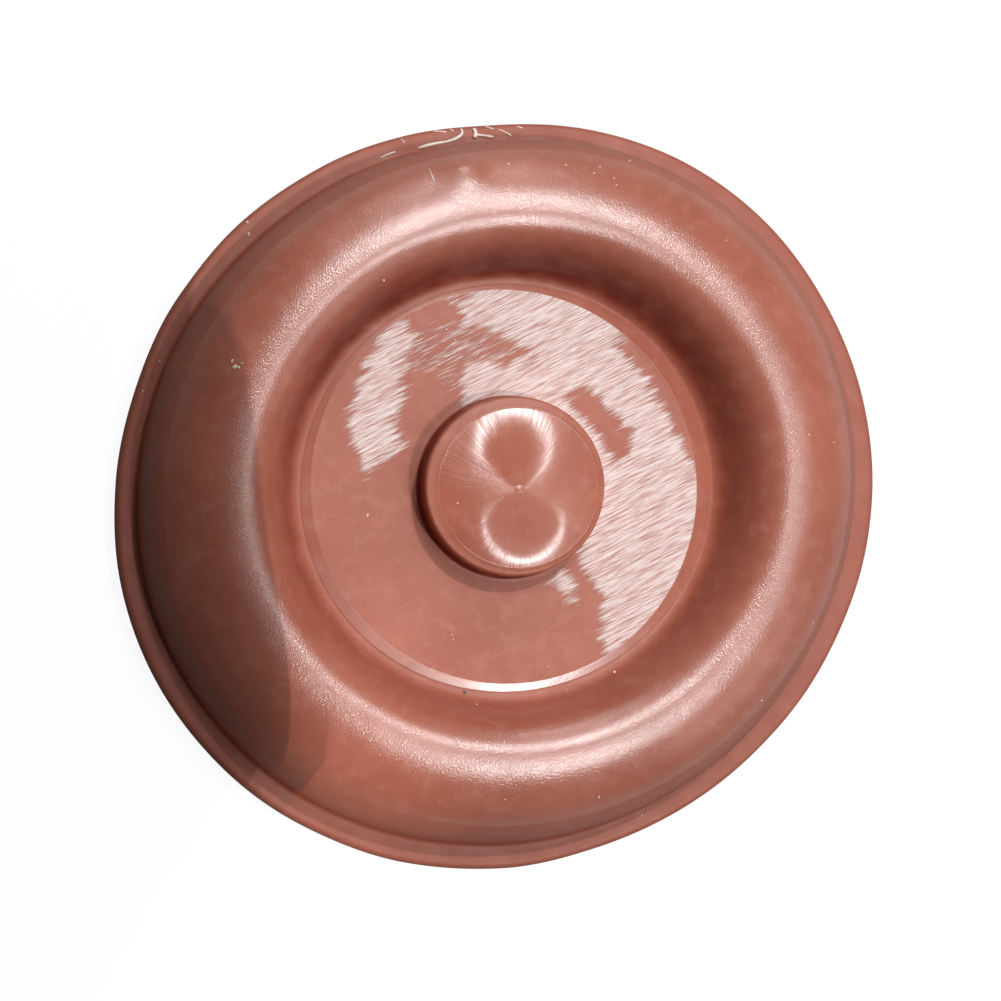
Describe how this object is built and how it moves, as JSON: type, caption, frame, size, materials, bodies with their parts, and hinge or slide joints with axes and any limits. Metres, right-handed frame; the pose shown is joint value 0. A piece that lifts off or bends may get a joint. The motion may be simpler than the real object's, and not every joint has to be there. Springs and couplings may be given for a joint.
{
  "type": "valve diaphragm",
  "caption": "Round rolling diaphragm of a crankcase pressure valve: flat rim with sealing bead, raised annular roll, thick centre plate and a round stop boss.",
  "frame": {"origin": "on the axis, at the level of the sealing bead's lower face, on which the diaphragm lies", "axes": "+Z along the axis, from the sealing bead towards the stop boss; the section is the same all round"},
  "size_m": [0.052, 0.052, 0.0077],
  "materials": {
    "rubber": "red-brown fluorosilicone rubber, satin, with a ground centre plate"
  },
  "bodies": {
    "root": {"diaphragm": "rubber"}
  },
  "joints": []
}
